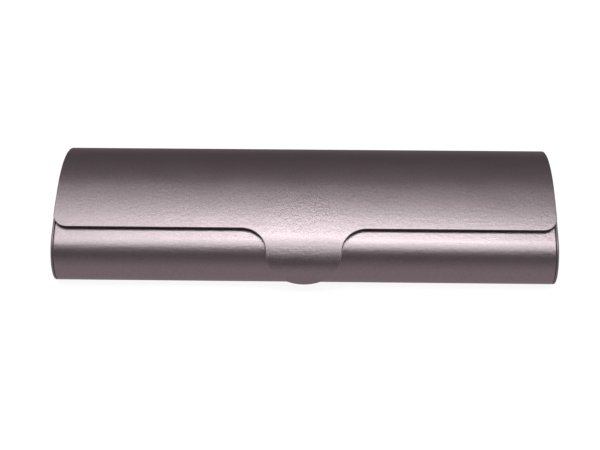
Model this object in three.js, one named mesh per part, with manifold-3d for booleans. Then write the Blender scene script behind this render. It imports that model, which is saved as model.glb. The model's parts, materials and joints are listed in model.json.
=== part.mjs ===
import * as THREE from 'three';
import { mergeVertices } from 'three/addons/utils/BufferGeometryUtils.js';
import Module from 'manifold-3d';

// A slim eyeglasses case bent from two anodised aluminium sheets. The base sheet is the bottom, the
// round nose and a short front lip, closed by a cap at each end. The lid sheet is the back, the top and
// the front slope, with a tongue in the middle that wraps over the nose and is held by magnets. A piano
// hinge joins the two sheets along the back, and both are lined with foam and felt.
//
// Millimetres and degrees. X runs along the case, -Y is the front, +Z is up, and the flat bottom of the
// base is at Z = 0. The origin is under the middle of the closed case.

const wasm = await Module();
wasm.setup();

// ---- Driving dimensions: the sheets and their section ----

const lidLength = 160;
const sheetThickness = 1;
const sheetEndInset = 0.7; // how far each end of the base sheet stops short of the end of the lid
const lidStandoff = 1.4; // from the outer face of the base to the outer face of the lid, at the front
const noseRadius = 9.5; // outer face of the base
const tongueHeading = 105; // direction of the straight tip of the tongue, seen as it rises
const tongueBends = [[6.9, 70], [11.5, 57], [17.5, 33.3]]; // radius, and the heading where each bend ends
const slopeHeading = 34; // where the nose of the base ends and its front slope starts
const slopeRadius = 110;
const crownHeading = 24.2; // where the slope runs into the crown
const crownRadius = 36;
const backHeading = -30; // where the crown runs into the round back
const bottomHeading = -180;

// ---- Driving dimensions: the outline of the lid sheet, laid flat ----

const tongueTip = 4.6; // straight length below the bends
const tongueRadius = 12; // half the width of the tongue, and the radius of its round end
const shoulderRadius = 8; // hollow corner between the tongue and the front edge
const frontEdge = 20.2; // from the tip of the tongue to the front edge of the lid
const frontCornerRadius = 4.6;
const rearCornerRadius = 2;
const lipLength = 6; // of the base sheet above its nose, under the lid

// ---- Driving dimensions: hinge ----

const hingeHeading = -80; // direction of the back face where the hinge is
const hingeDepth = 1; // from the outer face to the hinge axis
const hingeLength = 146;
const hingeGap = 1.9; // from the hinge axis to the edge of each sheet
const knuckleCount = 13;
const knuckleRadius = 1.35;
const knuckleSpace = 0.25; // along X between neighbouring knuckles
const boreRadius = 0.92;
const pinRadius = 0.75;
const pinChamfer = 0.2;
const leafThickness = 0.5;
const leafStart = 1.7; // from the hinge axis
const leafEnd = 9.2;
const leafGap = 0.1; // between a sheet and its leaf
const neckStart = 0.9;
const neckEnd = 2.1; // the neck of a knuckle runs into its leaf
const rivetReach = 6; // from the hinge axis
const rivetSpan = 38; // along X between neighbouring rivets
const rivetsPerLeaf = 4;
const rivetShank = 0.8;
const rivetHole = 0.95;
const rivetHead = 1.7;
const rivetHeadHeight = 0.55;
const rivetRim = 0.15; // where the dome of the head starts, above the sheet
const rivetSeat = 0.04; // between the sheet and the head
const rivetTail = 1.25;
const rivetTailHeight = 0.42;
const rivetTailGap = 0.12; // between the leaf and the tail
const roundSides = 16; // of barrels, bores, pins and holes
const rivetSides = 12;

// ---- Driving dimensions: caps, linings and catch ----

const fitGap = 0.15; // between pieces that are fitted together
const flangeThickness = 0.75;
const flangeBevel = 0.25;
const spigotLength = 3.6;
const spigotWall = 1.4;
const basePadThickness = 1.45;
const lidPadThickness = 1.05;
const padEndGap = 0.4; // between the foam and the spigots of the caps
const padFrontGap = 0.4; // from the edge of the lip
const padSetback = 1; // from a leaf to the foam
const feltThickness = 0.8;
const feltFrontGap = 0.6; // from the edge of the lip
const feltFromHinge = 3.2; // from the hinge axis
const feltOverlap = 0.5; // of the lid's felt over its foam
const endFeltThickness = 1.2;
const liningSetback = 2.5; // from the front lip of the base to the lining of the lid
const liningCornerRadius = 3;
const holderHalfLength = 11.5;
const holderFrom = 62; // headings of the nose that the magnet holder covers
const holderTo = 108;
const magnetHeading = 85;
const magnetHalfAngle = 17; // of the window in the holder
const magnetLength = 8;
const magnetWidth = 3.4;
const magnetThickness = 1.1;
const magnetSpacing = 10.4;
const magnetPlay = 0.3; // round a magnet, and round the holder
const strikerHalfLength = 8.5;
const strikerThickness = 0.3;
const strikerFrom = 66;
const strikerTo = 99;
const strikerGap = 0.1;
const strikerTipCorner = 2.5;
const strikerRearCorner = 1;

// ---- Materials ----

const metal = (color, roughness) => new THREE.MeshStandardMaterial({ color, roughness, metalness: 1 });
const soft = (color) => new THREE.MeshStandardMaterial({ color, roughness: 0.95, metalness: 0 });

const anodised = metal(0x9a898e, 0.36);
const capCoat = metal(0x8c7c81, 0.42);
const hingeSteel = metal(0xa5a3a4, 0.3);
const magnetPlate = metal(0xc4c2be, 0.2);
const holderPlastic = soft(0x1b1a1c);
const foam = soft(0x3a363a);
const felt = soft(0x231f24);

// ---- Outlines in the Y-Z plane ----

const radians = THREE.MathUtils.degToRad;

// Straight runs and arcs, one after the other. Every arc turns clockwise, so the outer side of the case
// is always on the left. A heading is in degrees above +Y, and s is the length along the outline.
class Outline {
  constructor(y, z, heading) {
    this.runs = [];
    this.end = { s: 0, y, z, heading };
  }

  line(length) {
    return this.add({ length, turn: 0 });
  }

  arc(radius, heading) {
    const turn = radians(this.end.heading - heading);
    return this.add({ length: radius * turn, turn, radius });
  }

  add(run) {
    this.runs.push({ ...run, start: this.end });
    this.end = this.at(this.end.s + run.length);
    return this;
  }

  at(s) {
    const run = this.runs.findLast((candidate) => candidate.start.s <= s) ?? this.runs[0];
    const { start, turn, length, radius } = run;
    const along = s - start.s;
    const from = radians(start.heading);
    if (turn === 0) {
      const y = start.y + along * Math.cos(from);
      return { s, y, z: start.z + along * Math.sin(from), heading: start.heading };
    }
    const to = from - (turn * along) / length;
    const y = start.y + radius * (Math.sin(from) - Math.sin(to));
    const z = start.z + radius * (Math.cos(to) - Math.cos(from));
    return { s, y, z, heading: THREE.MathUtils.radToDeg(to) };
  }

  // The point at s, moved outwards by offset.
  point(s, offset = 0) {
    const { y, z, heading } = this.at(s);
    return [y - offset * Math.sin(radians(heading)), z + offset * Math.cos(radians(heading))];
  }

  // Lengths from one place to another that are close enough for its arcs, and go through every fixed one.
  stations(from, to, fixed = []) {
    const kept = [from, to, ...fixed.filter((s) => s > from && s < to)];
    for (const run of this.runs) {
      const steps = Math.max(1, Math.round(THREE.MathUtils.radToDeg(run.turn) / stepAngle(run.radius)));
      for (let step = 0; step <= steps; step += 1) {
        const s = run.start.s + (run.length * step) / steps;
        const clear = kept.every((other) => Math.abs(other - s) > minimumStep);
        if (s > from && s < to && clear) {
          kept.push(s);
        }
      }
    }
    return kept.sort((a, b) => a - b);
  }

  // Where the outline has the given heading.
  lengthAt(heading) {
    const run = this.runs.find(({ start, turn }) => {
      const last = start.heading - THREE.MathUtils.radToDeg(turn);
      return turn > 0 && heading <= start.heading && heading >= last;
    });
    return run.start.s + run.radius * radians(run.start.heading - heading);
  }
}

const minimumStep = 0.35; // between two rows of a sheet
const finestBend = 1.8; // degrees between two rows on a wide arc
const coarsestBend = 7.5; // degrees between two rows on a tight arc
const rowSpacing = 90; // degrees between two rows, times the radius, on the arcs in between

function stepAngle(radius = 1) {
  return THREE.MathUtils.clamp(rowSpacing / radius, finestBend, coarsestBend);
}

// The point of an arc with the given heading, from the arc's centre.
function onArc(radius, heading) {
  return [-radius * Math.sin(radians(heading)), radius * Math.cos(radians(heading))];
}

// The tongue, from its tip to the front slope, when its tip is at the given point.
function tongueOutline(y, z) {
  const outline = new Outline(y, z, tongueHeading).line(tongueTip);
  tongueBends.forEach(([radius, heading]) => outline.arc(radius, heading));
  return outline;
}

// The front slope of the lid lies over the slope of the base and shares its centre. The nose of the base
// has its centre at Y = 0 and Z = noseRadius.
const overNose = onArc(noseRadius + lidStandoff, slopeHeading);
const slopeEnd = onArc(slopeRadius, slopeHeading);
const slopeCentre = [overNose[0] - slopeEnd[0], noseRadius + overNose[1] - slopeEnd[1]];
const lidSlopeHeading = tongueBends.at(-1)[1];
const slopeFoot = onArc(slopeRadius, lidSlopeHeading).map((value, axis) => value + slopeCentre[axis]);

// The outer face of the lid, from the tip of the tongue to the hinge axis.
const looseTongue = tongueOutline(0, 0).end;
const lidOutline = tongueOutline(slopeFoot[0] - looseTongue.y, slopeFoot[1] - looseTongue.z)
  .arc(slopeRadius, crownHeading)
  .arc(crownRadius, backHeading);

// The back is one arc that meets the flat bottom at Z = 0, so the height of the crown sets its radius.
const backRadius = lidOutline.end.z / (1 + Math.cos(radians(backHeading)));
lidOutline.arc(backRadius, hingeHeading);
const hingeOnLid = lidOutline.end.s;

// The outer face of the base, from the hinge axis round the bottom and the nose to the end of the lip.
const lipHeading = slopeHeading - THREE.MathUtils.radToDeg(lipLength / slopeRadius);
const baseOutline = new Outline(lidOutline.end.y, lidOutline.end.z, hingeHeading);
baseOutline.arc(backRadius, bottomHeading);
baseOutline
  .line(baseOutline.end.y)
  .arc(noseRadius, slopeHeading - 360)
  .arc(slopeRadius - lidStandoff, lipHeading - 360);
const baseEnd = baseOutline.end.s;
const onNose = (heading) => baseOutline.lengthAt(heading - 360);

// The top of the end caps goes on from the nose, level with the outer face of the base, to the hinge axis.
const noseEnd = baseOutline.at(onNose(slopeHeading));
const rimOutline = new Outline(noseEnd.y, noseEnd.z, slopeHeading)
  .arc(slopeRadius - lidStandoff, crownHeading)
  .arc(crownRadius - lidStandoff, backHeading)
  .arc(backRadius - lidStandoff, hingeHeading);

// ---- Solids ----

function closed(geometry) {
  const bare = geometry.index ? geometry.toNonIndexed() : geometry;
  bare.deleteAttribute('normal');
  bare.deleteAttribute('uv');
  return mergeVertices(bare, 1e-4);
}

function solid(geometry) {
  const { attributes, index } = closed(geometry);
  const vertProperties = new Float32Array(attributes.position.array);
  const triVerts = new Uint32Array(index.array);
  return new wasm.Manifold(new wasm.Mesh({ numProp: 3, vertProperties, triVerts }));
}

function surface(manifold) {
  const { vertProperties, triVerts } = manifold.getMesh();
  const geometry = new THREE.BufferGeometry();
  geometry.setAttribute('position', new THREE.BufferAttribute(vertProperties, 3));
  geometry.setIndex(new THREE.BufferAttribute(triVerts, 1));
  return geometry;
}

function fuse(geometries) {
  return geometries.map(solid).reduce((whole, piece) => whole.add(piece));
}

// A sheet bent along an outline. Each row lies across the sheet at length s and has an x for every
// column; its cells say which columns have material between it and the next row.
function bentSheet(outline, rows, outer, inner) {
  const positions = [];
  const corner = (i, j, offset) => [rows[i].xs[j], ...outline.point(rows[i].s, offset)];
  const quad = (a, b, c, d) => positions.push(...a, ...b, ...c, ...a, ...c, ...d);
  const filled = (i, j) => Boolean(rows[i]?.cells?.[j]) && i < rows.length - 1;
  const edge = (i, j, k, l, from, to) => {
    quad(corner(i, j, from), corner(k, l, from), corner(k, l, to), corner(i, j, to));
  };
  rows.slice(0, -1).forEach((row, i) => {
    row.xs.slice(0, -1).forEach((_, j) => {
      if (!filled(i, j)) {
        return;
      }
      const around = [[i, j], [i, j + 1], [i + 1, j + 1], [i + 1, j]];
      quad(...around.map(([k, l]) => corner(k, l, outer)));
      quad(...around.map(([k, l]) => corner(k, l, inner)).reverse());
      if (!filled(i - 1, j)) {
        edge(i, j, i, j + 1, inner, outer);
      }
      if (!filled(i + 1, j)) {
        edge(i + 1, j, i + 1, j + 1, outer, inner);
      }
      if (!filled(i, j - 1)) {
        edge(i, j, i + 1, j, outer, inner);
      }
      if (!filled(i, j + 1)) {
        edge(i, j + 1, i + 1, j + 1, inner, outer);
      }
    });
  });
  const geometry = new THREE.BufferGeometry();
  geometry.setAttribute('position', new THREE.Float32BufferAttribute(positions, 3));
  return closed(geometry);
}

// How far a corner of this radius pulls the side of a sheet in, at this distance from the end.
function cornerInset(radius, distance) {
  const short = Math.max(0, radius - distance);
  return radius - Math.sqrt(radius * radius - short * short);
}

const cornerAngles = [15, 32, 50, 70, 90]; // places of the rows round a corner of a sheet

// Distances from the end of a sheet that follow its round corner.
function cornerSteps(radius) {
  return cornerAngles.map((angle) => radius * (1 - Math.cos(radians(angle))));
}

// A rectangular sheet from one length to another, with round corners at both ends and an optional window.
function panel({ outline, from, to, halfLength, startCorner, endCorner, window, outer, inner }) {
  const fixed = cornerSteps(startCorner).map((step) => from + step);
  fixed.push(...cornerSteps(endCorner).map((step) => to - step));
  fixed.push(...(window ? [window.from, window.to] : []));
  const inside = halfLength - Math.max(startCorner, endCorner) - minimumStep;
  const middle = window ? [-inside, -window.half, window.half, inside] : [-inside, inside];
  const rows = outline.stations(from, to, fixed).map((s) => {
    const inset = cornerInset(startCorner, s - from) + cornerInset(endCorner, to - s);
    const open = window && s >= window.from && s < window.to;
    const cells = [true, true, !open, true, true];
    const xs = [inset - halfLength, ...middle, halfLength - inset];
    return { s, xs, cells: window ? cells : [true, true, true] };
  });
  return bentSheet(outline, rows, outer, inner);
}

// Points in the Y-Z plane, carried along X from one place to another.
function extrudeX(points, from, to, bevel = 0) {
  const shape = new THREE.Shape(points.map(([y, z]) => new THREE.Vector2(y, z)));
  const geometry = new THREE.ExtrudeGeometry(shape, {
    depth: to - from - 2 * bevel,
    bevelEnabled: bevel > 0,
    bevelThickness: bevel,
    bevelSize: bevel,
    bevelOffset: -bevel,
    bevelSegments: 2,
  });
  geometry.translate(0, 0, from + bevel);
  const axes = [new THREE.Vector3(0, 1, 0), new THREE.Vector3(0, 0, 1), new THREE.Vector3(1, 0, 0)];
  return closed(geometry.applyMatrix4(new THREE.Matrix4().makeBasis(...axes)));
}

function circle([y, z], radius, sides) {
  return Array.from({ length: sides }, (_, index) => {
    const angle = (2 * Math.PI * (index + 0.5)) / sides;
    return [y + radius * Math.cos(angle), z + radius * Math.sin(angle)];
  });
}

// Puts a shape that stands on its own +Y axis onto an outline, so that +Y points straight out of the case.
function standOn(geometry, outline, s, x, offset = 0) {
  const heading = radians(outline.at(s).heading);
  const across = new THREE.Vector3(1, 0, 0);
  const out = new THREE.Vector3(0, -Math.sin(heading), Math.cos(heading));
  const along = new THREE.Vector3().crossVectors(across, out);
  const matrix = new THREE.Matrix4().makeBasis(across, out, along);
  return geometry.applyMatrix4(matrix.setPosition(x, ...outline.point(s, offset)));
}

// ---- Sheets ----

// The lid sheet has a grid of columns. The middle ones span the tongue, and the outer ones fill the rest.
function lidRows() {
  const lidHalf = lidLength / 2;
  const rear = hingeOnLid - hingeGap;
  const tongueColumns = 6;
  const shoulder = tongueRadius + shoulderRadius;
  const tipAngles = [9, 24, 38, 49, 60, 70, 80];
  const shoulderAngles = [0, 18, 36, 54, 68, 80];
  const tongueRows = tipAngles.map((angle) => {
    const turned = radians(angle);
    return { s: tongueRadius * (1 - Math.cos(turned)), half: tongueRadius * Math.sin(turned) };
  });
  const shoulderRows = shoulderAngles.map((angle) => {
    const turned = radians(angle);
    const s = frontEdge + shoulderRadius * (Math.sin(turned) - 1);
    return { s, half: shoulder - shoulderRadius * Math.cos(turned) };
  });
  const fixed = cornerSteps(frontCornerRadius).map((step) => frontEdge + step);
  fixed.push(...cornerSteps(rearCornerRadius).map((step) => rear - step));
  const bodyRows = lidOutline.stations(frontEdge, rear, fixed).map((s) => ({ s, half: shoulder }));
  const inside = lidHalf - frontCornerRadius - 1;
  return [...tongueRows, ...shoulderRows, ...bodyRows].map(({ s, half }) => {
    const inset = cornerInset(frontCornerRadius, s - frontEdge) + cornerInset(rearCornerRadius, rear - s);
    const tongue = Array.from({ length: tongueColumns + 1 }, (_, j) => half * ((2 * j) / tongueColumns - 1));
    const sides = Array(2).fill(s >= frontEdge);
    const cells = [...sides, ...Array(tongueColumns).fill(true), ...sides];
    return { s, xs: [inset - lidHalf, -inside, ...tongue, inside, lidHalf - inset], cells };
  });
}

const rivetPlaces = Array.from({ length: rivetsPerLeaf }, (_, index) => {
  return rivetSpan * (index - (rivetsPerLeaf - 1) / 2);
});

// Cuts the rivet holes of a leaf or a sheet, at a length measured along its outline.
function drilled(geometry, outline, s) {
  const depth = 4 * sheetThickness;
  const bit = () => new THREE.CylinderGeometry(rivetHole, rivetHole, depth, roundSides);
  const drill = (x) => standOn(bit(), outline, s, x);
  return surface(rivetPlaces.reduce((rest, x) => rest.subtract(solid(drill(x))), solid(geometry)));
}

function lidShell() {
  return drilled(bentSheet(lidOutline, lidRows(), 0, -sheetThickness), lidOutline, hingeOnLid - rivetReach);
}

function baseShell() {
  const sheet = panel({
    outline: baseOutline,
    from: hingeGap,
    to: baseEnd,
    halfLength: lidLength / 2 - sheetEndInset,
    startCorner: rearCornerRadius,
    endCorner: rearCornerRadius,
    outer: 0,
    inner: -sheetThickness,
  });
  return drilled(sheet, baseOutline, rivetReach);
}

// ---- End caps ----

const flangeInside = lidLength / 2 - sheetEndInset + fitGap;
const spigotStart = flangeInside - spigotLength;

// The outline of the closed case at the ends, all the way round, moved inwards by an inset. It follows the
// base, then the rim under the lid. With a landing it steps in beside the hinge.
function endLoop(inset, fromHinge, landing) {
  const base = baseOutline.stations(fromHinge, noseEnd.s).map((s) => baseOutline.point(s, -inset));
  const rimEnd = rimOutline.end.s - fromHinge * (1 - lidStandoff / backRadius);
  const rim = rimOutline.stations(0, rimEnd).slice(1).map((s) => rimOutline.point(s, -inset));
  const onAxis = rimOutline.point(rimOutline.end.s, -inset);
  const step = [onAxis, baseOutline.point(fromHinge, -inset - lidStandoff)];
  return [...base, ...rim, ...(landing ? step : [])];
}

function endCap(side) {
  const flangeOutside = flangeInside + flangeThickness;
  const flange = extrudeX(endLoop(0, hingeGap, true), flangeInside, flangeOutside, flangeBevel);
  const spigotInset = sheetThickness + fitGap;
  const spigotEnd = flangeInside + flangeThickness / 2;
  const outside = extrudeX(endLoop(spigotInset, leafStart + hingeGap, false), spigotStart, spigotEnd);
  const hollow = endLoop(spigotInset + spigotWall, leafStart + hingeGap, false);
  const hole = extrudeX(hollow, spigotStart - 1, flangeInside);
  const cap = surface(solid(outside).subtract(solid(hole)).add(solid(flange)));
  return side > 0 ? cap : mirrored(cap);
}

// The same shape at the other end, with its faces turned so that they still point out.
function mirrored(geometry) {
  const flipped = geometry.clone().applyMatrix4(new THREE.Matrix4().makeScale(-1, 1, 1));
  const order = flipped.index.array;
  for (let first = 0; first < order.length; first += 3) {
    [order[first], order[first + 1]] = [order[first + 1], order[first]];
  }
  return flipped;
}

// ---- Hinge ----

const hingeAxis = lidOutline.point(hingeOnLid, -hingeDepth);
const leafOuter = -sheetThickness - leafGap;
const leafInner = leafOuter - leafThickness;
const pitch = hingeLength / knuckleCount;

// One leaf of the hinge. Towards is -1 on the lid, where lengths run up to the axis, and 1 on the base.
function hingeLeaf(outline, axisAt, towards, firstKnuckle) {
  const ends = [axisAt + towards * leafStart, axisAt + towards * leafEnd].sort((a, b) => a - b);
  const plate = panel({
    outline,
    from: ends[0],
    to: ends[1],
    halfLength: hingeLength / 2,
    startCorner: towards < 0 ? rearCornerRadius : 0,
    endCorner: towards < 0 ? 0 : rearCornerRadius,
    outer: leafOuter,
    inner: leafInner,
  });
  const pieces = [drilled(plate, outline, axisAt + towards * rivetReach)];
  for (let index = firstKnuckle; index < knuckleCount; index += 2) {
    const from = -hingeLength / 2 + index * pitch + knuckleSpace / 2;
    const to = from + pitch - knuckleSpace;
    const neck = [neckStart, neckEnd].map((reach) => axisAt + towards * reach);
    const outerEdge = neck.map((s) => outline.point(s, leafOuter));
    const innerEdge = neck.map((s) => outline.point(s, leafInner));
    const section = [...outerEdge, ...innerEdge.reverse()];
    pieces.push(extrudeX(circle(hingeAxis, knuckleRadius, roundSides), from, to));
    pieces.push(extrudeX(towards > 0 ? section.reverse() : section, from, to));
  }
  const bore = extrudeX(circle(hingeAxis, boreRadius, roundSides), -hingeLength, hingeLength);
  return surface(fuse(pieces).subtract(solid(bore)));
}

function hingePin() {
  const half = hingeLength / 2 + knuckleSpace;
  const tip = pinRadius - pinChamfer;
  const profile = [
    [0, -half],
    [tip, -half],
    [pinRadius, pinChamfer - half],
    [pinRadius, half - pinChamfer],
    [tip, half],
    [0, half],
  ].map(([r, y]) => new THREE.Vector2(r, y));
  const pin = new THREE.LatheGeometry(profile, roundSides).rotateZ(-Math.PI / 2);
  return closed(pin.translate(0, ...hingeAxis));
}

// A rivet with a domed head outside and a flat tail inside, standing on its own +Y axis.
function rivet(outline, s, x) {
  const dome = [0, 45].map((angle) => {
    const up = radians(angle);
    return [rivetHead * Math.cos(up), rivetRim + rivetHeadHeight * Math.sin(up)];
  });
  const tailTop = leafInner - rivetTailGap;
  const profile = [
    [0, tailTop - rivetTailHeight],
    [rivetTail - rivetTailHeight / 2, tailTop - rivetTailHeight],
    [rivetTail, tailTop - rivetTailHeight / 2],
    [rivetTail, tailTop],
    [rivetShank, tailTop],
    [rivetShank, rivetSeat],
    [rivetHead, rivetSeat],
    ...dome,
    [0, rivetRim + rivetHeadHeight],
  ].map(([r, y]) => new THREE.Vector2(r, y));
  return standOn(closed(new THREE.LatheGeometry(profile, rivetSides)), outline, s, x);
}

// ---- Linings ----

const baseFeltOuter = -(sheetThickness + basePadThickness + 2 * fitGap);
const lidFeltOuter = -(sheetThickness + lidPadThickness + 2 * fitGap);
const padHalfLength = spigotStart - padEndGap;
const endFeltOuter = flangeInside - fitGap;
const baseFeltHalf = endFeltOuter - endFeltThickness - fitGap;
const lidLiningStart = lidOutline.lengthAt(lipHeading) + liningSetback;
const padFromHinge = leafEnd + padSetback;
const holderWindow = { from: onNose(holderTo), to: onNose(holderFrom), half: holderHalfLength };

function basePadding() {
  return panel({
    outline: baseOutline,
    from: padFromHinge,
    to: baseEnd - padFrontGap,
    halfLength: padHalfLength,
    startCorner: liningCornerRadius,
    endCorner: liningCornerRadius,
    window: {
      from: holderWindow.from - magnetPlay,
      to: holderWindow.to + magnetPlay,
      half: holderWindow.half + magnetPlay,
    },
    outer: -sheetThickness - fitGap,
    inner: -sheetThickness - fitGap - basePadThickness,
  });
}

function baseLining() {
  return panel({
    outline: baseOutline,
    from: feltFromHinge,
    to: baseEnd - feltFrontGap,
    halfLength: baseFeltHalf,
    startCorner: liningCornerRadius,
    endCorner: liningCornerRadius,
    outer: baseFeltOuter,
    inner: baseFeltOuter - feltThickness,
  });
}

function lidPadding() {
  return panel({
    outline: lidOutline,
    from: lidLiningStart + feltOverlap,
    to: hingeOnLid - padFromHinge,
    halfLength: padHalfLength - feltOverlap,
    startCorner: liningCornerRadius,
    endCorner: liningCornerRadius,
    outer: -sheetThickness - fitGap,
    inner: -sheetThickness - fitGap - lidPadThickness,
  });
}

function lidLining() {
  return panel({
    outline: lidOutline,
    from: lidLiningStart,
    to: hingeOnLid - feltFromHinge,
    halfLength: padHalfLength,
    startCorner: liningCornerRadius,
    endCorner: liningCornerRadius,
    outer: lidFeltOuter,
    inner: lidFeltOuter - feltThickness,
  });
}

function endLining(side) {
  const inset = sheetThickness + 2 * fitGap + spigotWall;
  const near = endFeltOuter - endFeltThickness;
  const disc = extrudeX(endLoop(inset, leafStart + hingeGap, false), near, endFeltOuter);
  return side > 0 ? disc : mirrored(disc);
}

// ---- Magnetic catch ----

// The holder is a curved strip inside the nose, with one window for each magnet.
function magnetHolder() {
  const from = onNose(magnetHeading + magnetHalfAngle);
  const to = onNose(magnetHeading - magnetHalfAngle);
  const halfWindow = magnetLength / 2 + magnetPlay;
  const middles = [-magnetSpacing / 2, magnetSpacing / 2];
  const edges = middles.flatMap((x) => [x - halfWindow, x + halfWindow]);
  const xs = [-holderHalfLength, ...edges, holderHalfLength];
  const rows = baseOutline.stations(holderWindow.from, holderWindow.to, [from, to]).map((s) => {
    const open = s >= from && s < to;
    return { s, xs, cells: [true, !open, true, !open, true] };
  });
  const outer = -sheetThickness - fitGap;
  return bentSheet(baseOutline, rows, outer, outer - basePadThickness);
}

function magnet(side) {
  const bar = new THREE.BoxGeometry(magnetLength, magnetThickness, magnetWidth);
  const offset = -sheetThickness - fitGap - basePadThickness / 2;
  return closed(standOn(bar, baseOutline, onNose(magnetHeading), (side * magnetSpacing) / 2, offset));
}

function tongueStriker() {
  return panel({
    outline: lidOutline,
    from: lidOutline.lengthAt(strikerTo),
    to: lidOutline.lengthAt(strikerFrom),
    halfLength: strikerHalfLength,
    startCorner: strikerTipCorner,
    endCorner: strikerRearCorner,
    outer: -sheetThickness - strikerGap,
    inner: -sheetThickness - strikerGap - strikerThickness,
  });
}

// ---- Assembly ----

const assembly = new THREE.Group();

function piece(name, geometry, material) {
  const mesh = new THREE.Mesh(geometry, material);
  mesh.name = name;
  assembly.add(mesh);
}

piece('base_shell', baseShell(), anodised);
piece('base_padding', basePadding(), foam);
piece('base_lining', baseLining(), felt);
piece('magnet_holder', magnetHolder(), holderPlastic);
piece('hinge_leaf_base', hingeLeaf(baseOutline, 0, 1, 0), hingeSteel);
piece('hinge_pin', hingePin(), hingeSteel);

for (const [name, side] of [['left', -1], ['right', 1]]) {
  piece(`end_cap_${name}`, endCap(side), capCoat);
  piece(`end_lining_${name}`, endLining(side), felt);
  piece(`magnet_${name}`, magnet(side), magnetPlate);
}

piece('lid_shell', lidShell(), anodised);
piece('lid_padding', lidPadding(), foam);
piece('lid_lining', lidLining(), felt);
piece('tongue_striker', tongueStriker(), hingeSteel);
piece('hinge_leaf_lid', hingeLeaf(lidOutline, hingeOnLid, -1, 1), hingeSteel);

rivetPlaces.forEach((x, index) => {
  piece(`hinge_rivet_base_${index + 1}`, rivet(baseOutline, rivetReach, x), hingeSteel);
  piece(`hinge_rivet_lid_${index + 1}`, rivet(lidOutline, hingeOnLid - rivetReach, x), hingeSteel);
});

// The outlines start at the centre of the nose, so the whole case moves back over the origin.
const reach = new THREE.Box3().setFromObject(assembly);
assembly.position.y = -(reach.min.y + reach.max.y) / 2;

export default assembly;
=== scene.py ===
"""The looks of a slim eyeglasses case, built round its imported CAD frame.

Sizes are in millimetres and angles in degrees, as in the CAD, until a mesh is finished: every mesh is
scaled to metres once, in add_piece. X runs along the case, -Y is the front and +Z is up. A sheet, leaf or
lining is first made flat, as a blank with rounded edges, and then bent along the outline of its section.
"""

import json
import math

import bmesh
import bpy
from mathutils import Matrix, Vector, noise


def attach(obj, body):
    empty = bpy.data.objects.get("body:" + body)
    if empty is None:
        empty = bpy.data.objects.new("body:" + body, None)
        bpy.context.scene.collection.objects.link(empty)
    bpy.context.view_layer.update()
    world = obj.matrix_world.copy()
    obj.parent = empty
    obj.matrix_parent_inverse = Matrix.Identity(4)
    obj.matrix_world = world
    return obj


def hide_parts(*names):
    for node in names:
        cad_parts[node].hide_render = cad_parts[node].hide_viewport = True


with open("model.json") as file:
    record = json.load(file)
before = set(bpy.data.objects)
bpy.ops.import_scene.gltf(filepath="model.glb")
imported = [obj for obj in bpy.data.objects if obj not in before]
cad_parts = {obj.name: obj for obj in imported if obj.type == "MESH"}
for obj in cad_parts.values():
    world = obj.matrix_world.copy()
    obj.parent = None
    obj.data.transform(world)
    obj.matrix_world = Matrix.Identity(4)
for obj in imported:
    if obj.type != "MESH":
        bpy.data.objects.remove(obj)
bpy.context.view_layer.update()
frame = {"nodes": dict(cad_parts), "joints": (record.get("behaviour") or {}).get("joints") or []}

MM = 0.001

# ---- Driving dimensions, the same as in the CAD ----

LID_LENGTH = 160
SHEET = 1
SHEET_END_INSET = 0.7
LID_STANDOFF = 1.4
NOSE_RADIUS = 9.5
TONGUE_HEADING = 105
TONGUE_BENDS = ((6.9, 70), (11.5, 57), (17.5, 33.3))  # radius, and the heading where each bend ends
SLOPE_HEADING = 34
SLOPE_RADIUS = 110
CROWN_HEADING = 24.2
CROWN_RADIUS = 36
BACK_HEADING = -30
HINGE_HEADING = -80
BOTTOM_HEADING = -180
TONGUE_TIP = 4.6
TONGUE_RADIUS = 12
SHOULDER_RADIUS = 8
FRONT_EDGE = 20.2
FRONT_CORNER_RADIUS = 4.6
REAR_CORNER_RADIUS = 2
LIP_LENGTH = 6

HINGE_DEPTH = 1
LEAF_GAP = 0.1
HINGE_LENGTH = 146
HINGE_GAP = 1.9
KNUCKLE_COUNT = 13
KNUCKLE_RADIUS = 1.35
KNUCKLE_SPACE = 0.25
BORE_RADIUS = 0.92
PIN_RADIUS = 0.75
PIN_ROUND = 0.2
LEAF = 0.5
LEAF_START = 1.7
LEAF_END = 9.2
NECK_END = 2.1  # the neck of a knuckle runs into its leaf
RIVET_REACH = 6
RIVET_SPAN = 38
RIVETS_PER_LEAF = 4
RIVET_SHANK = 0.8
RIVET_HOLE = 0.95
RIVET_HEAD = 1.7
RIVET_HEAD_HEIGHT = 0.55
RIVET_RIM = 0.15  # where the dome of the head starts, above the sheet
RIVET_SEAT = 0.04  # between the sheet and the head
RIVET_TAIL = 1.25
RIVET_TAIL_HEIGHT = 0.42
RIVET_TAIL_GAP = 0.12  # between the leaf and the tail

FIT_GAP = 0.15
FLANGE = 0.75
SPIGOT_LENGTH = 3.6
SPIGOT_WALL = 1.4
BASE_PAD = 1.45
LID_PAD = 1.05
PAD_END_GAP = 0.4  # between the foam and the spigots of the caps
PAD_SETBACK = 1  # from a leaf to the foam
FELT = 0.8
FELT_FRONT_GAP = 0.6  # from the edge of the lip
FELT_FROM_HINGE = 3.2  # from the hinge axis
END_FELT = 1.2
LINING_SETBACK = 2.5
LINING_CORNER_RADIUS = 3
STRIKER_HALF_LENGTH = 8.5
STRIKER = 0.3
STRIKER_FROM = 66
STRIKER_TO = 99
STRIKER_GAP = 0.1
STRIKER_TIP_CORNER = 2.5
STRIKER_REAR_CORNER = 1

# ---- Mesh detail ----

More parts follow.
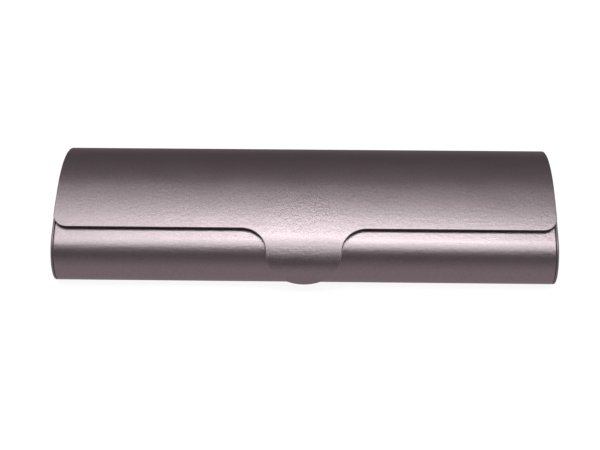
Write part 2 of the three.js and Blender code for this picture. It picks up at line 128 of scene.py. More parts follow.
EDGE_ROUND = 0.22  # radius of the broken edges of the sheets
EDGE_STEPS = 4  # facets on a quarter of a rounded edge
STEP_ANGLE = 3  # degrees of bend between two cuts across a sheet
LONGEST_STEP = 2
SNAP = 0.01  # a cut this close to a vertex goes through it
SHARP_ANGLE = 40
HOLE_SEGMENTS = 24
PIN_SEGMENTS = 24
RIVET_SEGMENTS = 32
DOME_STEPS = 7
CUT_EDGE = 0.5  # a face steeper than this counts as the cut side of a sheet

# ---- Section outlines ----


class Outline:
    """Straight runs and arcs in the Y-Z plane. Every arc turns clockwise, so the outer side of the case is
    on the left. A heading is in degrees above +Y, and s is the length along the outline."""

    def __init__(self, y, z, heading):
        self.runs = []
        self.length = 0
        self.end = (y, z, heading)

    def line(self, length):
        return self.add(length, 0, 0)

    def arc(self, radius, heading):
        turn = math.radians(self.end[2] - heading)
        return self.add(radius * turn, turn, radius)

    def add(self, length, turn, radius):
        self.runs.append((self.length, self.end, length, turn, radius))
        self.length += length
        self.end = self.at(self.length)
        return self

    def at(self, s):
        started = [run for run in self.runs if run[0] <= s] or self.runs[:1]
        start, (y, z, heading), length, turn, radius = started[-1]
        along = s - start
        before = math.radians(heading)
        if turn == 0:
            return y + along * math.cos(before), z + along * math.sin(before), heading
        after = before - turn * along / length
        y += radius * (math.sin(before) - math.sin(after))
        z += radius * (math.cos(after) - math.cos(before))
        return y, z, math.degrees(after)

    def point(self, s, offset=0):
        """The point at s, moved outwards by offset."""
        y, z, heading = self.at(s)
        angle = math.radians(heading)
        return y - offset * math.sin(angle), z + offset * math.cos(angle)

    def length_at(self, heading):
        for start, (_, _, first), _, turn, radius in self.runs:
            if turn > 0 and first >= heading >= first - math.degrees(turn):
                return start + radius * math.radians(first - heading)
        raise ValueError(f"the outline never has the heading {heading}")

    def stations(self, start, stop, longest=LONGEST_STEP):
        """Lengths between start and stop where a sheet is cut across, so that it bends smoothly."""
        places = []
        for first, _, length, turn, _ in self.runs:
            steps = math.ceil(max(math.degrees(turn) / STEP_ANGLE, length / longest))
            places += [first + length * step / steps for step in range(steps)]
        return [s for s in places if start + SNAP < s < stop - SNAP]


def on_arc(radius, heading):
    """The point of an arc with the given heading, from the arc's centre."""
    angle = math.radians(heading)
    return Vector((-radius * math.sin(angle), radius * math.cos(angle)))


def tongue_section(tip):
    outline = Outline(*tip, TONGUE_HEADING).line(TONGUE_TIP)
    for radius, heading in TONGUE_BENDS:
        outline.arc(radius, heading)
    return outline


def lid_section():
    """The outer face of the lid, from the tip of the tongue to the hinge axis. Its front slope shares a
    centre with the slope of the base."""
    over_nose = Vector((0, NOSE_RADIUS)) + on_arc(NOSE_RADIUS + LID_STANDOFF, SLOPE_HEADING)
    slope_centre = over_nose - on_arc(SLOPE_RADIUS, SLOPE_HEADING)
    slope_foot = slope_centre + on_arc(SLOPE_RADIUS, TONGUE_BENDS[-1][1])
    loose_end = Vector(tongue_section((0, 0)).end[:2])
    outline = tongue_section(slope_foot - loose_end)
    outline.arc(SLOPE_RADIUS, CROWN_HEADING).arc(CROWN_RADIUS, BACK_HEADING)
    back_radius = outline.end[1] / (1 + math.cos(math.radians(BACK_HEADING)))
    return outline.arc(back_radius, HINGE_HEADING), back_radius


def base_section(hinge_end, back_radius):
    """The outer face of the base, from the hinge axis round the bottom and the nose to the end of the lip."""
    outline = Outline(*hinge_end).arc(back_radius, BOTTOM_HEADING)
    outline.line(outline.end[0]).arc(NOSE_RADIUS, SLOPE_HEADING - 360)
    return outline.arc(SLOPE_RADIUS - LID_STANDOFF, LIP_HEADING - 360)


def rim_section(nose_end, back_radius):
    """The top of the end caps: on from the nose, level with the outer face of the base, to the hinge axis."""
    outline = Outline(*nose_end[:2], SLOPE_HEADING).arc(SLOPE_RADIUS - LID_STANDOFF, CROWN_HEADING)
    outline.arc(CROWN_RADIUS - LID_STANDOFF, BACK_HEADING)
    return outline.arc(back_radius - LID_STANDOFF, HINGE_HEADING)


LIP_HEADING = SLOPE_HEADING - math.degrees(LIP_LENGTH / SLOPE_RADIUS)
lid_outline, BACK_RADIUS = lid_section()
base_outline = base_section(lid_outline.end, BACK_RADIUS)
HINGE_ON_LID = lid_outline.length
BASE_END = base_outline.length
NOSE_END = base_outline.length_at(SLOPE_HEADING - 360)
rim_outline = rim_section(base_outline.at(NOSE_END), BACK_RADIUS)

# The outlines start at the centre of the nose. The frame's hinge axis says how far they are from the origin.
hinge_axis = lid_outline.point(HINGE_ON_LID, -HINGE_DEPTH)
hinge_joint = frame["joints"][0]
SHIFT_Y = hinge_joint["pos_m"][1] / MM - hinge_axis[0]

# ---- Flat blanks ----


def arc_points(x, s, radius, first, last, step=8):
    """Points of an arc in a flat blank, from one angle to another."""
    count = max(1, math.ceil(abs(last - first) / step))
    angles = [math.radians(first + (last - first) * i / count) for i in range(count + 1)]
    return [(x + radius * math.cos(a), s + radius * math.sin(a)) for a in angles]


def rectangle(half, start, stop, start_radius, stop_radius):
    """The outline of a flat rectangle with round corners, anticlockwise."""
    right = arc_points(half - start_radius, start + start_radius, start_radius, -90, 0)
    right += arc_points(half - stop_radius, stop - stop_radius, stop_radius, 0, 90)
    return right + [(-x, s) for x, s in reversed(right)]


def lid_blank():
    """The flat outline of the lid: the tongue with its round end and hollow shoulders, then the body."""
    half = LID_LENGTH / 2
    rear = HINGE_ON_LID - HINGE_GAP
    hollow = FRONT_EDGE - SHOULDER_RADIUS
    meeting = math.degrees(math.acos(1 - hollow / TONGUE_RADIUS))
    right = arc_points(0, TONGUE_RADIUS, TONGUE_RADIUS, -90, meeting - 90, 3)
    right += arc_points(TONGUE_RADIUS + SHOULDER_RADIUS, hollow, SHOULDER_RADIUS, 180, 90, 4)
    front, corner = FRONT_CORNER_RADIUS, REAR_CORNER_RADIUS
    right += arc_points(half - front, FRONT_EDGE + front, front, -90, 0, 5)
    right += arc_points(half - corner, rear - corner, corner, 0, 90)
    return right + [(-x, s) for x, s in reversed(right[1:])]


def inset_loop(loop, inset):
    """The loop moved inwards by the inset, with mitred corners."""
    moved = []
    count = len(loop)
    for i, (x, y) in enumerate(loop):
        before = Vector((x, y)) - Vector(loop[i - 1])
        after = Vector(loop[(i + 1) % count]) - Vector((x, y))
        before.normalize()
        after.normalize()
        inward = Vector((-before.y - after.y, before.x + after.x))
        inward /= 1 + before.dot(after)
        moved.append((x + inset * inward.x, y + inset * inward.y))
    return moved


def quarter(radius, steps=EDGE_STEPS):
    """(inset, drop) down a rounded edge, from the flat face to the side."""
    angles = [math.pi / 2 * i / steps for i in range(steps + 1)]
    return [(radius * (1 - math.sin(a)), radius * (1 - math.cos(a))) for a in angles]


def edge_profile(outer, inner, radius):
    """(inset, height) round the edge of a plate, from its outer face to its inner face."""
    support = (2 * radius, outer)
    upper = [(inset, outer - drop) for inset, drop in quarter(radius)]
    lower = [(inset, inner + drop) for inset, drop in reversed(quarter(radius))]
    return [support, *upper, *lower, (2 * radius, inner)]


def stack_rings(rings):
    """One closed solid through a list of rings that have the same number of points."""
    bm = bmesh.new()
    rows = [[bm.verts.new(point) for point in ring] for ring in rings]
    for near, far in zip(rows, rows[1:]):
        for i in range(len(near)):
            j = (i + 1) % len(near)
            bm.faces.new((near[i], near[j], far[j], far[i]))
    bm.faces.new(list(reversed(rows[0])))
    bm.faces.new(rows[-1])
    bmesh.ops.recalc_face_normals(bm, faces=bm.faces[:])
    return bm


def flat_plate(loop, profile):
    rings = []
    for inset, height in profile:
        rings.append([(x, s, height) for x, s in inset_loop(loop, inset)])
    return stack_rings(rings)


def cut_across(bm, axis, places):
    """Adds an edge loop through every place along an axis of the flat blank."""
    normal = Vector([float(i == axis) for i in range(3)])
    for place in places:
        everything = bm.verts[:] + bm.edges[:] + bm.faces[:]
        bmesh.ops.bisect_plane(bm, geom=everything, dist=SNAP, plane_co=normal * place, plane_no=normal)


def drill(bm, s):
    """Cuts the row of rivet holes through a flat blank."""
    blank = temporary_object(bm)
    drills = bmesh.new()
    drill_shape = {"radius1": RIVET_HOLE, "radius2": RIVET_HOLE, "depth": 4 * SHEET, "cap_ends": True}
    for x in rivet_places:
        shift = Matrix.Translation((x, s, 0))
        bmesh.ops.create_cone(drills, segments=HOLE_SEGMENTS, matrix=shift, **drill_shape)
    cutter = temporary_object(drills)
    cut = blank.modifiers.new("holes", "BOOLEAN")
    cut.operation = "DIFFERENCE"
    cut.solver = "EXACT"
    cut.object = cutter
    evaluated = blank.evaluated_get(bpy.context.evaluated_depsgraph_get())
    result = bmesh.new()
    result.from_mesh(evaluated.to_mesh())
    evaluated.to_mesh_clear()
    for scrap in (blank, cutter):
        mesh = scrap.data
        bpy.data.objects.remove(scrap)
        bpy.data.meshes.remove(mesh)
    return result


def temporary_object(bm):
    mesh = bpy.data.meshes.new("scrap")
    bm.to_mesh(mesh)
    bm.free()
    scrap = bpy.data.objects.new("scrap", mesh)
    bpy.context.scene.collection.objects.link(scrap)
    return scrap


def bend(bm, outline):
    """Turns a blank's (x, s, height) into a place on the case."""
    for vertex in bm.verts:
        x, s, height = vertex.co
        vertex.co = (x, *outline.point(s, height))


def span(start, stop, step):
    count = max(1, round((stop - start) / step))
    return [start + (stop - start) * i / count for i in range(1, count)]


rivet_places = [RIVET_SPAN * (i - (RIVETS_PER_LEAF - 1) / 2) for i in range(RIVETS_PER_LEAF)]

# ---- Materials ----


def new_material(name, color, metallic, roughness):
    material = bpy.data.materials.new(name)
    material.use_nodes = True
    shader = material.node_tree.nodes["Principled BSDF"]
    shader.inputs["Base Color"].default_value = (*color, 1)
    shader.inputs["Metallic"].default_value = metallic
    shader.inputs["Roughness"].default_value = roughness
    return material, shader


def texture(material, kind, scale, stretch=(1, 1, 1), **settings):
    """A 3-D texture in object space. Scale is in features per metre, stretched along each axis."""
    nodes, links = material.node_tree.nodes, material.node_tree.links
    place = nodes.new("ShaderNodeTexCoord")
    mapping = nodes.new("ShaderNodeMapping")
    mapping.inputs["Scale"].default_value = stretch
    links.new(place.outputs["Object"], mapping.inputs["Vector"])
    node = nodes.new(kind)
    links.new(mapping.outputs["Vector"], node.inputs["Vector"])
    node.inputs["Scale"].default_value = scale
    for name, value in settings.items():
        node.inputs[name].default_value = value
    return node.outputs[0]


def noise_texture(material, scale, stretch=(1, 1, 1), detail=2, roughness=0.5):
    return texture(material, "ShaderNodeTexNoise", scale, stretch, Detail=detail, Roughness=roughness)


def spread(material, source, low, high):
    """Maps a noise from its usual reach, 0.3 to 0.7, to low and high."""
    node = material.node_tree.nodes.new("ShaderNodeMapRange")
    node.inputs["From Min"].default_value = 0.3
    node.inputs["From Max"].default_value = 0.7
    node.inputs["To Min"].default_value = low
    node.inputs["To Max"].default_value = high
    material.node_tree.links.new(source, node.inputs["Value"])
    return node.outputs["Result"]


def blend_colors(material, source, dark, light):
    """A colour ramp from dark to light over the usual reach of a noise."""
    node = material.node_tree.nodes.new("ShaderNodeValToRGB")
    first, last = node.color_ramp.elements
    first.position, first.color = 0.3, (*dark, 1)
    last.position, last.color = 0.7, (*light, 1)
    material.node_tree.links.new(source, node.inputs["Fac"])
    return node.outputs["Color"]


def add_bump(material, shader, layers):
    """Chains bump nodes. Every layer is (height, depth in metres)."""
    normal = None
    for height, depth in layers:
        bump = material.node_tree.nodes.new("ShaderNodeBump")
        bump.inputs["Strength"].default_value = 1
        bump.inputs["Distance"].default_value = depth
        material.node_tree.links.new(height, bump.inputs["Height"])
        if normal:
            material.node_tree.links.new(normal, bump.inputs["Normal"])
        normal = bump.outputs["Normal"]
    material.node_tree.links.new(normal, shader.inputs["Normal"])


def shade(color, factor):
    return tuple(channel * factor for channel in color)


def blasted_metal(name, color, roughness, grain, depth):
    """Satin metal with the fine pitted grain of bead blasting. Grain is the size of a pit in metres."""
    material, shader = new_material(name, color, 1, roughness)
    links = material.node_tree.links
    fine = noise_texture(material, 1 / grain, detail=3, roughness=0.6)
    soft = noise_texture(material, 90, detail=2)
    speckle = blend_colors(material, fine, shade(color, 0.88), shade(color, 1.12))
    links.new(speckle, shader.inputs["Base Color"])
    links.new(spread(material, soft, roughness - 0.015, roughness + 0.015), shader.inputs["Roughness"])
    coarse = noise_texture(material, 0.35 / grain, detail=1)
    add_bump(material, shader, [(coarse, depth), (fine, depth)])
    return material


def felt_cloth(name, color):
    """Short dense felt: matted fibres, a darker ground between them, and a nap that lies unevenly."""
    material, shader = new_material(name, color, 0, 0.95)
    links = material.node_tree.links
    fibres = noise_texture(material, 2200, detail=4, roughness=0.7)
    matting = noise_texture(material, 420, detail=3, roughness=0.6)
    nap = noise_texture(material, 55, detail=3)
    ground = blend_colors(material, fibres, shade(color, 0.55), shade(color, 1.5))
    lie = blend_colors(material, nap, (0.82, 0.82, 0.82), (1.15, 1.15, 1.15))
    mix = material.node_tree.nodes.new("ShaderNodeMix")
    mix.data_type = "RGBA"
    mix.blend_type = "MULTIPLY"
    mix.inputs["Factor"].default_value = 1
    links.new(ground, mix.inputs["A"])
    links.new(lie, mix.inputs["B"])
    links.new(mix.outputs["Result"], shader.inputs["Base Color"])
    shader.inputs["Sheen Weight"].default_value = 0.35
    shader.inputs["Sheen Roughness"].default_value = 0.45
    shader.inputs["Sheen Tint"].default_value = (0.75, 0.68, 0.74, 1)
    shader.inputs["Specular IOR Level"].default_value = 0.15
    add_bump(material, shader, [(matting, 0.00025), (fibres, 0.00012)])
    return material


def cellular_foam(name, color):
    material, shader = new_material(name, color, 0, 0.9)
    cells = texture(material, "ShaderNodeTexVoronoi", 2600)
    links = material.node_tree.links
    speckle = blend_colors(material, cells, shade(color, 0.6), shade(color, 1.15))
    links.new(speckle, shader.inputs["Base Color"])
    add_bump(material, shader, [(cells, 0.00012)])
    return material


def brushed_metal(name, color, roughness):
    """Steel brushed along X, so its grain is long in X and fine across it."""
    material, shader = new_material(name, color, 1, roughness)
    links = material.node_tree.links
    grain = noise_texture(material, 5000, stretch=(0.03, 1, 1), detail=3, roughness=0.65)
    cloud = noise_texture(material, 120, detail=3)
    tarnish = blend_colors(material, cloud, shade(color, 0.94), shade(color, 1.05))
    links.new(tarnish, shader.inputs["Base Color"])
    links.new(spread(material, grain, roughness - 0.05, roughness + 0.07), shader.inputs["Roughness"])
    add_bump(material, shader, [(grain, 0.000004)])
    return material


def moulded_plastic(name, color):
    material, shader = new_material(name, color, 0, 0.55)
    links = material.node_tree.links
    grain = noise_texture(material, 1800, detail=2)
    speckle = blend_colors(material, grain, shade(color, 0.9), shade(color, 1.1))
    links.new(speckle, shader.inputs["Base Color"])
    add_bump(material, shader, [(grain, 0.00002)])
    return material


anodised = blasted_metal("anodised_sheet", (0.44, 0.38, 0.4), 0.35, 0.0004, 0.000036)
# The cut sides of the sheets are painted far darker than the anodised sheet. This is painted shade, so the
# seam under the lid's front edge reads as a shadowed gap.
cut_edge_painted_shade = blasted_metal("cut_edge_painted_shade", (0.17, 0.145, 0.153), 0.5, 0.0004, 0.00001)
cap_coat = blasted_metal("cap_coat", (0.4, 0.345, 0.365), 0.38, 0.0004, 0.00002)
felt = felt_cloth("felt", (0.03, 0.024, 0.029))
foam = cellular_foam("foam", (0.085, 0.08, 0.085))
hinge_steel = brushed_metal("hinge_steel", (0.56, 0.54, 0.54), 0.3)
magnet_plate = brushed_metal("magnet_plate", (0.62, 0.6, 0.57), 0.2)
holder_plastic = moulded_plastic("holder_plastic", (0.012, 0.012, 0.013))

# ---- Pieces ----


def add_piece(name, bm, body, material, nodes, side_material=None):
    """Scales a mesh to metres, puts it in place on its body, and hides the CAD nodes it stands for."""
    for vertex in bm.verts:
        x, y, z = vertex.co
        vertex.co = (x * MM, (y + SHIFT_Y) * MM, z * MM)
    bmesh.ops.recalc_face_normals(bm, faces=bm.faces[:])
    mesh = bpy.data.meshes.new(name)
    bm.to_mesh(mesh)
    bm.free()
    mesh.shade_smooth()
    mesh.set_sharp_from_angle(angle=math.radians(SHARP_ANGLE))
    mesh.materials.append(material)
    if side_material:
        mesh.materials.append(side_material)
    piece = bpy.data.objects.new(name, mesh)
    bpy.context.scene.collection.objects.link(piece)
    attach(piece, body)
    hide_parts(*nodes)
    return piece


def bent_plate(outline, loop, outer, inner, radius=EDGE_ROUND, holes_at=None, side_material=0):
    """A plate with rounded edges, drilled for rivets if it has a row of them, and bent along an outline. The
    cut sides of the plate have the material with the given number."""
    bm = flat_plate(loop, edge_profile(outer, inner, radius))
    if holes_at is not None:
        bm = drill(bm, holes_at)
    bm.normal_update()
    for face in bm.faces:
        if abs(face.normal.z) < CUT_EDGE:
            face.material_index = side_material
    lengths = [s for _, s in loop]
    cut_across(bm, 1, outline.stations(min(lengths), max(lengths)))
    bend(bm, outline)
    return bm


def make_sheets():
    half = LID_LENGTH / 2 - SHEET_END_INSET
    base_blank = rectangle(half, HINGE_GAP, BASE_END, REAR_CORNER_RADIUS, REAR_CORNER_RADIUS)
    sheets = (
        ("lid", lid_outline, lid_blank(), HINGE_ON_LID - RIVET_REACH),
        ("base", base_outline, base_blank, RIVET_REACH),
    )
    for body, outline, blank, holes_at in sheets:
        # The cut sides of each sheet take the darker material, which is painted shade along the seam.
        plate = bent_plate(outline, blank, 0, -SHEET, holes_at=holes_at, side_material=1)
        add_piece(f"{body}_sheet", plate, body, anodised, [f"{body}_shell"], cut_edge_painted_shade)


# ---- End caps ----

CAP_ROUND = 0.5
CAP_BASE_STEPS = 110
CAP_RIM_STEPS = 64
FLANGE_INSIDE = LID_LENGTH / 2 - SHEET_END_INSET + FIT_GAP
FLANGE_OUTSIDE = FLANGE_INSIDE + FLANGE
SPIGOT_START = FLANGE_INSIDE - SPIGOT_LENGTH


def end_loop(inset, from_hinge, landing):
    """The section of the closed case at its ends, moved inwards: round the base, then along the rim under the
    lid. With a landing it steps in beside the hinge, and without one it closes straight across."""
    points = []
    for i in range(CAP_BASE_STEPS + 1):
        s = from_hinge + (NOSE_END - from_hinge) * i / CAP_BASE_STEPS
        points.append(base_outline.point(s, -inset))
    rim_end = rim_outline.length - from_hinge * (1 - LID_STANDOFF / BACK_RADIUS)
    for i in range(1, CAP_RIM_STEPS + 1):
        points.append(rim_outline.point(rim_end * i / CAP_RIM_STEPS, -inset))
    if landing:
        step = base_outline.point(from_hinge, -inset - LID_STANDOFF)
        return [*points, rim_outline.point(rim_outline.length, -inset), step]
    first, last = Vector(points[0]), Vector(points[-1])
    return [*points, tuple(last.lerp(first, 1 / 3)), tuple(last.lerp(first, 2 / 3))]


def cap_mesh(side):
    """Rings from the outer face of the flange, over its round rim, to the bottom of the hollow spigot."""
    flange_from = HINGE_GAP
    spigot_from = LEAF_START + HINGE_GAP
    spigot = SHEET + FIT_GAP
    hollow = spigot + SPIGOT_WALL
    lip = FIT_GAP
    rings = [(2 * CAP_ROUND, FLANGE_OUTSIDE, flange_from)]
    rings += [(inset, FLANGE_OUTSIDE - drop, flange_from) for inset, drop in quarter(CAP_ROUND)]
    rings += [(0, FLANGE_INSIDE + lip, flange_from), (lip, FLANGE_INSIDE, flange_from)]
    rings += [(spigot, FLANGE_INSIDE, spigot_from), (spigot, SPIGOT_START + lip, spigot_from)]
    rings += [(spigot + lip, SPIGOT_START, spigot_from), (hollow - lip, SPIGOT_START, spigot_from)]
    rings += [(hollow, SPIGOT_START + lip, spigot_from), (hollow, FLANGE_INSIDE, spigot_from)]
    placed = []
    for inset, x, start in rings:
        loop = end_loop(inset, start, start == flange_from)
        placed.append([(side * x, y, z) for y, z in loop])
    return stack_rings(placed)


def make_caps():
    for name, side in (("left", -1), ("right", 1)):
        node = f"end_cap_{name}"
        add_piece(f"end_cover_{name}", cap_mesh(side), "base", cap_coat, [node])


# ---- Hinge ----

LEAF_OUTER = -SHEET - LEAF_GAP
LEAF_INNER = LEAF_OUTER - LEAF
LEAF_ROUND = 0.12
BARREL_SEGMENTS = 28
BARREL_CHAMFER = 0.1


def knuckle_rings(outline, axis_at, towards, start, stop):
    """Rings of one knuckle: a barrel with a bore, and the neck that joins it to its leaf."""
    _, _, heading = outline.at(axis_at)
    angle = math.radians(heading)
    along = Vector((math.cos(angle), math.sin(angle))) * towards
    out = Vector((-math.sin(angle), math.cos(angle)))
    centre = Vector(hinge_axis)
    neck_end = axis_at + towards * NECK_END
    corners = [Vector(outline.point(neck_end, height)) - centre for height in (LEAF_INNER, LEAF_OUTER)]
    neck_angles = []
    for corner in corners:
        height = corner.dot(out)
        neck_angles.append(math.atan2(height, math.sqrt(KNUCKLE_RADIUS**2 - height**2)))
    low, high = neck_angles
    turn = 2 * math.pi - (high - low)
    angles = [high + turn * i / BARREL_SEGMENTS for i in range(BARREL_SEGMENTS + 1)]

    def around(radius):
        return [along * radius * math.cos(a) + out * radius * math.sin(a) for a in angles]

    bore = around(BORE_RADIUS)
    neck_bore = [bore[-1].lerp(bore[0], share) for share in (1 / 3, 2 / 3)]
    inner = [*bore, *[point.normalized() * BORE_RADIUS for point in neck_bore]]
    rings = []
    bevel = BARREL_CHAMFER
    places = [(start, bevel), (start + bevel, 0), (stop - bevel, 0), (stop, bevel)]
    for x, chamfer in places:
        outer = [*around(KNUCKLE_RADIUS - chamfer), *corners]
        rings.append([(x, *(centre + point)) for point in outer])
    hole = [[(x, *(centre + point)) for point in inner] for x in (start, stop)]
    return rings, hole


def add_tube(bm, rings, hole):
    """A tube from its outer rings and the two ends of its hole."""
    loop = [hole[0], *rings, hole[1]]
    rows = [[bm.verts.new(point) for point in ring] for ring in loop]
    for near, far in zip(rows, rows[1:] + rows[:1]):
        for i in range(len(near)):
            j = (i + 1) % len(near)
            bm.faces.new((near[i], near[j], far[j], far[i]))


def leaf_mesh(outline, axis_at, towards, first_knuckle):
    ends = sorted((axis_at + towards * LEAF_START, axis_at + towards * LEAF_END))
    near_corner, far_corner = LEAF_ROUND * 2, REAR_CORNER_RADIUS
    corners = (near_corner, far_corner) if towards > 0 else (far_corner, near_corner)
    loop = rectangle(HINGE_LENGTH / 2, *ends, *corners)
    bm = bent_plate(outline, loop, LEAF_OUTER, LEAF_INNER, LEAF_ROUND, axis_at + towards * RIVET_REACH)
    pitch = HINGE_LENGTH / KNUCKLE_COUNT
    for index in range(first_knuckle, KNUCKLE_COUNT, 2):
        start = -HINGE_LENGTH / 2 + index * pitch + KNUCKLE_SPACE / 2
        add_tube(bm, *knuckle_rings(outline, axis_at, towards, start, start + pitch - KNUCKLE_SPACE))
    return bm


def turned(profile, segments):
    """A solid turned round its own +Z axis. The profile is (radius, height) from the bottom centre to the top
    centre; both ends lie on the axis."""
    rings = []
    for radius, height in profile[1:-1]:
        ring = []
        for i in range(segments):
            angle = 2 * math.pi * i / segments
            ring.append((radius * math.cos(angle), radius * math.sin(angle), height))
        rings.append(ring)
    return stack_rings(rings)


def pin_mesh():
    half = HINGE_LENGTH / 2 + KNUCKLE_SPACE
    end = [(PIN_RADIUS - inset, half - drop) for inset, drop in quarter(PIN_ROUND)]
    lower = [(radius, -height) for radius, height in end]
    bm = turned([(0, -half), *lower, *reversed(end), (0, half)], PIN_SEGMENTS)
    turn = Matrix(((0, 0, 1), (1, 0, 0), (0, 1, 0))).to_4x4()
    bmesh.ops.transform(bm, matrix=Matrix.Translation((0, *hinge_axis)) @ turn, verts=bm.verts[:])
    return bm


def rivet_mesh(outline, s, x):
    """A rivet with a domed head outside and a flat tail inside."""
    bottom = LEAF_INNER - RIVET_TAIL_GAP
    dome = []
    for step in range(DOME_STEPS):
        angle = math.pi / 2 * step / DOME_STEPS
        dome.append((RIVET_HEAD * math.cos(angle), RIVET_RIM + RIVET_HEAD_HEIGHT * math.sin(angle)))
    profile = [
        (0, bottom - RIVET_TAIL_HEIGHT),
        (RIVET_TAIL * 0.82, bottom - RIVET_TAIL_HEIGHT),
        (RIVET_TAIL * 0.95, bottom - RIVET_TAIL_HEIGHT * 0.8),
        (RIVET_TAIL, bottom - RIVET_TAIL_HEIGHT * 0.5),
        (RIVET_TAIL, bottom),
        (RIVET_SHANK, bottom),
        (RIVET_SHANK, RIVET_SEAT),
        (RIVET_HEAD - RIVET_SEAT, RIVET_SEAT),
        *dome,
        (0, RIVET_RIM + RIVET_HEAD_HEIGHT),
    ]
    bm = turned(profile, RIVET_SEGMENTS)
    _, _, heading = outline.at(s)
    angle = math.radians(heading)
    out = Vector((0, -math.sin(angle), math.cos(angle)))
    across = Vector((1, 0, 0))
    axes = Matrix((across, out.cross(across), out)).transposed().to_4x4()
    place = Matrix.Translation((x, *outline.point(s)))
    bmesh.ops.transform(bm, matrix=place @ axes, verts=bm.verts[:])
    return bm


def make_hinge():
    leaves = (("base", base_outline, 0, 1, 0), ("lid", lid_outline, HINGE_ON_LID, -1, 1))
    for body, outline, axis_at, towards, first_knuckle in leaves:
        leaf = leaf_mesh(outline, axis_at, towards, first_knuckle)
        add_piece(f"leaf_{body}", leaf, body, hinge_steel, [f"hinge_leaf_{body}"])
        for number, x in enumerate(rivet_places, start=1):
            rivet = rivet_mesh(outline, axis_at + towards * RIVET_REACH, x)
            node = f"hinge_rivet_{body}_{number}"
            add_piece(f"rivet_{body}_{number}", rivet, body, hinge_steel, [node])
    add_piece("pin", pin_mesh(), "base", hinge_steel, ["hinge_pin"])


# ---- Linings ----

BASE_FELT_OUTER = -(SHEET + BASE_PAD + 2 * FIT_GAP)
LID_FELT_OUTER = -(SHEET + LID_PAD + 2 * FIT_GAP)
PAD_OUTER = -SHEET - FIT_GAP
PAD_HALF = SPIGOT_START - PAD_END_GAP
BASE_FELT_HALF = FLANGE_INSIDE - FIT_GAP - END_FELT - FIT_GAP
PAD_FROM_HINGE = LEAF_END + PAD_SETBACK
LID_LINING_START = lid_outline.length_at(LIP_HEADING) + LINING_SETBACK
LEAF_CLEARANCE = LEAF_INNER - FIT_GAP
PAD_ROUND = 0.3
TURNED_EDGE = 1.1  # thickness of the felt where it is turned over the edge of its foam
FELT_ROUND = 0.35
FELT_STEP = 1.4  # between two cuts of a lining
NAP = 0.05  # how far the surface of the felt rises and falls
CROWN = 0.22  # how far a lining swells between its edges
CROWN_REACH = 7
FOLD_MARGIN = 2  # how far short of the foam's end the felt of the base stops being turned over
FOLD_FADE = 1.2


def smooth_step(value, low, high):
    share = min(1, max(0, (value - low) / (high - low)))
    return share * share * (3 - 2 * share)


def lining_mesh(outline, half, start, stop, outer, hinge_at, fold_half):
    """Felt that lies over its foam and is turned over the foam's edges, down to the sheet. Beside the hinge
    it only reaches down to the leaf, and beyond fold_half it isn't turned over at all."""
    inner = outer - FELT
    loop = rectangle(half, start, stop, LINING_CORNER_RADIUS, LINING_CORNER_RADIUS)
    top = [(inset, drop, False) for inset, drop in quarter(FELT_ROUND * 2)]
    rings = [(FELT_ROUND * 4, inner, inner)]
    rings += [(inset, inner + drop, inner + drop) for inset, drop, _ in top]
    rings += [(0, PAD_OUTER - FELT_ROUND, outer - 0.1), (FELT_ROUND / 2, PAD_OUTER, outer)]
    rings += [(TURNED_EDGE - FELT_ROUND / 2, PAD_OUTER, outer), (TURNED_EDGE, PAD_OUTER - FELT_ROUND, outer)]
    rings += [(TURNED_EDGE + 0.05, outer, outer), (TURNED_EDGE + 1, outer, outer)]
    middle = (start + stop) / 2
    placed = []
    for inset, folded, plain in rings:
        ring = []
        for x, s in inset_loop(loop, inset):
            depth = folded
            if (s < middle) == (hinge_at < middle) and folded > LEAF_CLEARANCE:
                depth = LEAF_CLEARANCE - (PAD_OUTER - folded)
            share = smooth_step(abs(x), fold_half, fold_half + FOLD_FADE)
            ring.append((x, s, depth + (plain - depth) * share))
        placed.append(ring)
    bm = stack_rings(placed)
    cut_across(bm, 1, span(start, stop, FELT_STEP))
    cut_across(bm, 0, span(-half, half, FELT_STEP))
    for vertex in bm.verts:
        x, s, height = vertex.co
        if height < outer - FELT_ROUND:
            edge = min(half - abs(x), s - start, stop - s)
            swell = CROWN * smooth_step(edge, 0, CROWN_REACH)
            vertex.co.z -= swell + NAP * noise.noise(Vector((x / 3, s / 3, 0)))
            vertex.co.z -= NAP / 2 * noise.noise(Vector((x / 1.2, s / 1.2, 9)))
    bend(bm, outline)
    return bm


def pad_mesh(outline, half, start, stop, thickness):
    loop = rectangle(half, start, stop, LINING_CORNER_RADIUS, LINING_CORNER_RADIUS)
    return bent_plate(outline, loop, PAD_OUTER, PAD_OUTER - thickness, PAD_ROUND)


def end_felt_mesh(side):
    inset = SHEET + 2 * FIT_GAP + SPIGOT_WALL
    start = LEAF_START + HINGE_GAP
    outside = FLANGE_INSIDE - FIT_GAP
    inside = outside - END_FELT
    rings = [(inset + corner, inside + drop) for corner, drop in [(2, 0), (1, 0), *quarter(FELT_ROUND)]]
    rings += [(inset, outside), (inset + FELT_ROUND, outside)]
    placed = []
    for loop_inset, x in rings:
        placed.append([(side * x, y, z) for y, z in end_loop(loop_inset, start, False)])
    return stack_rings(placed)


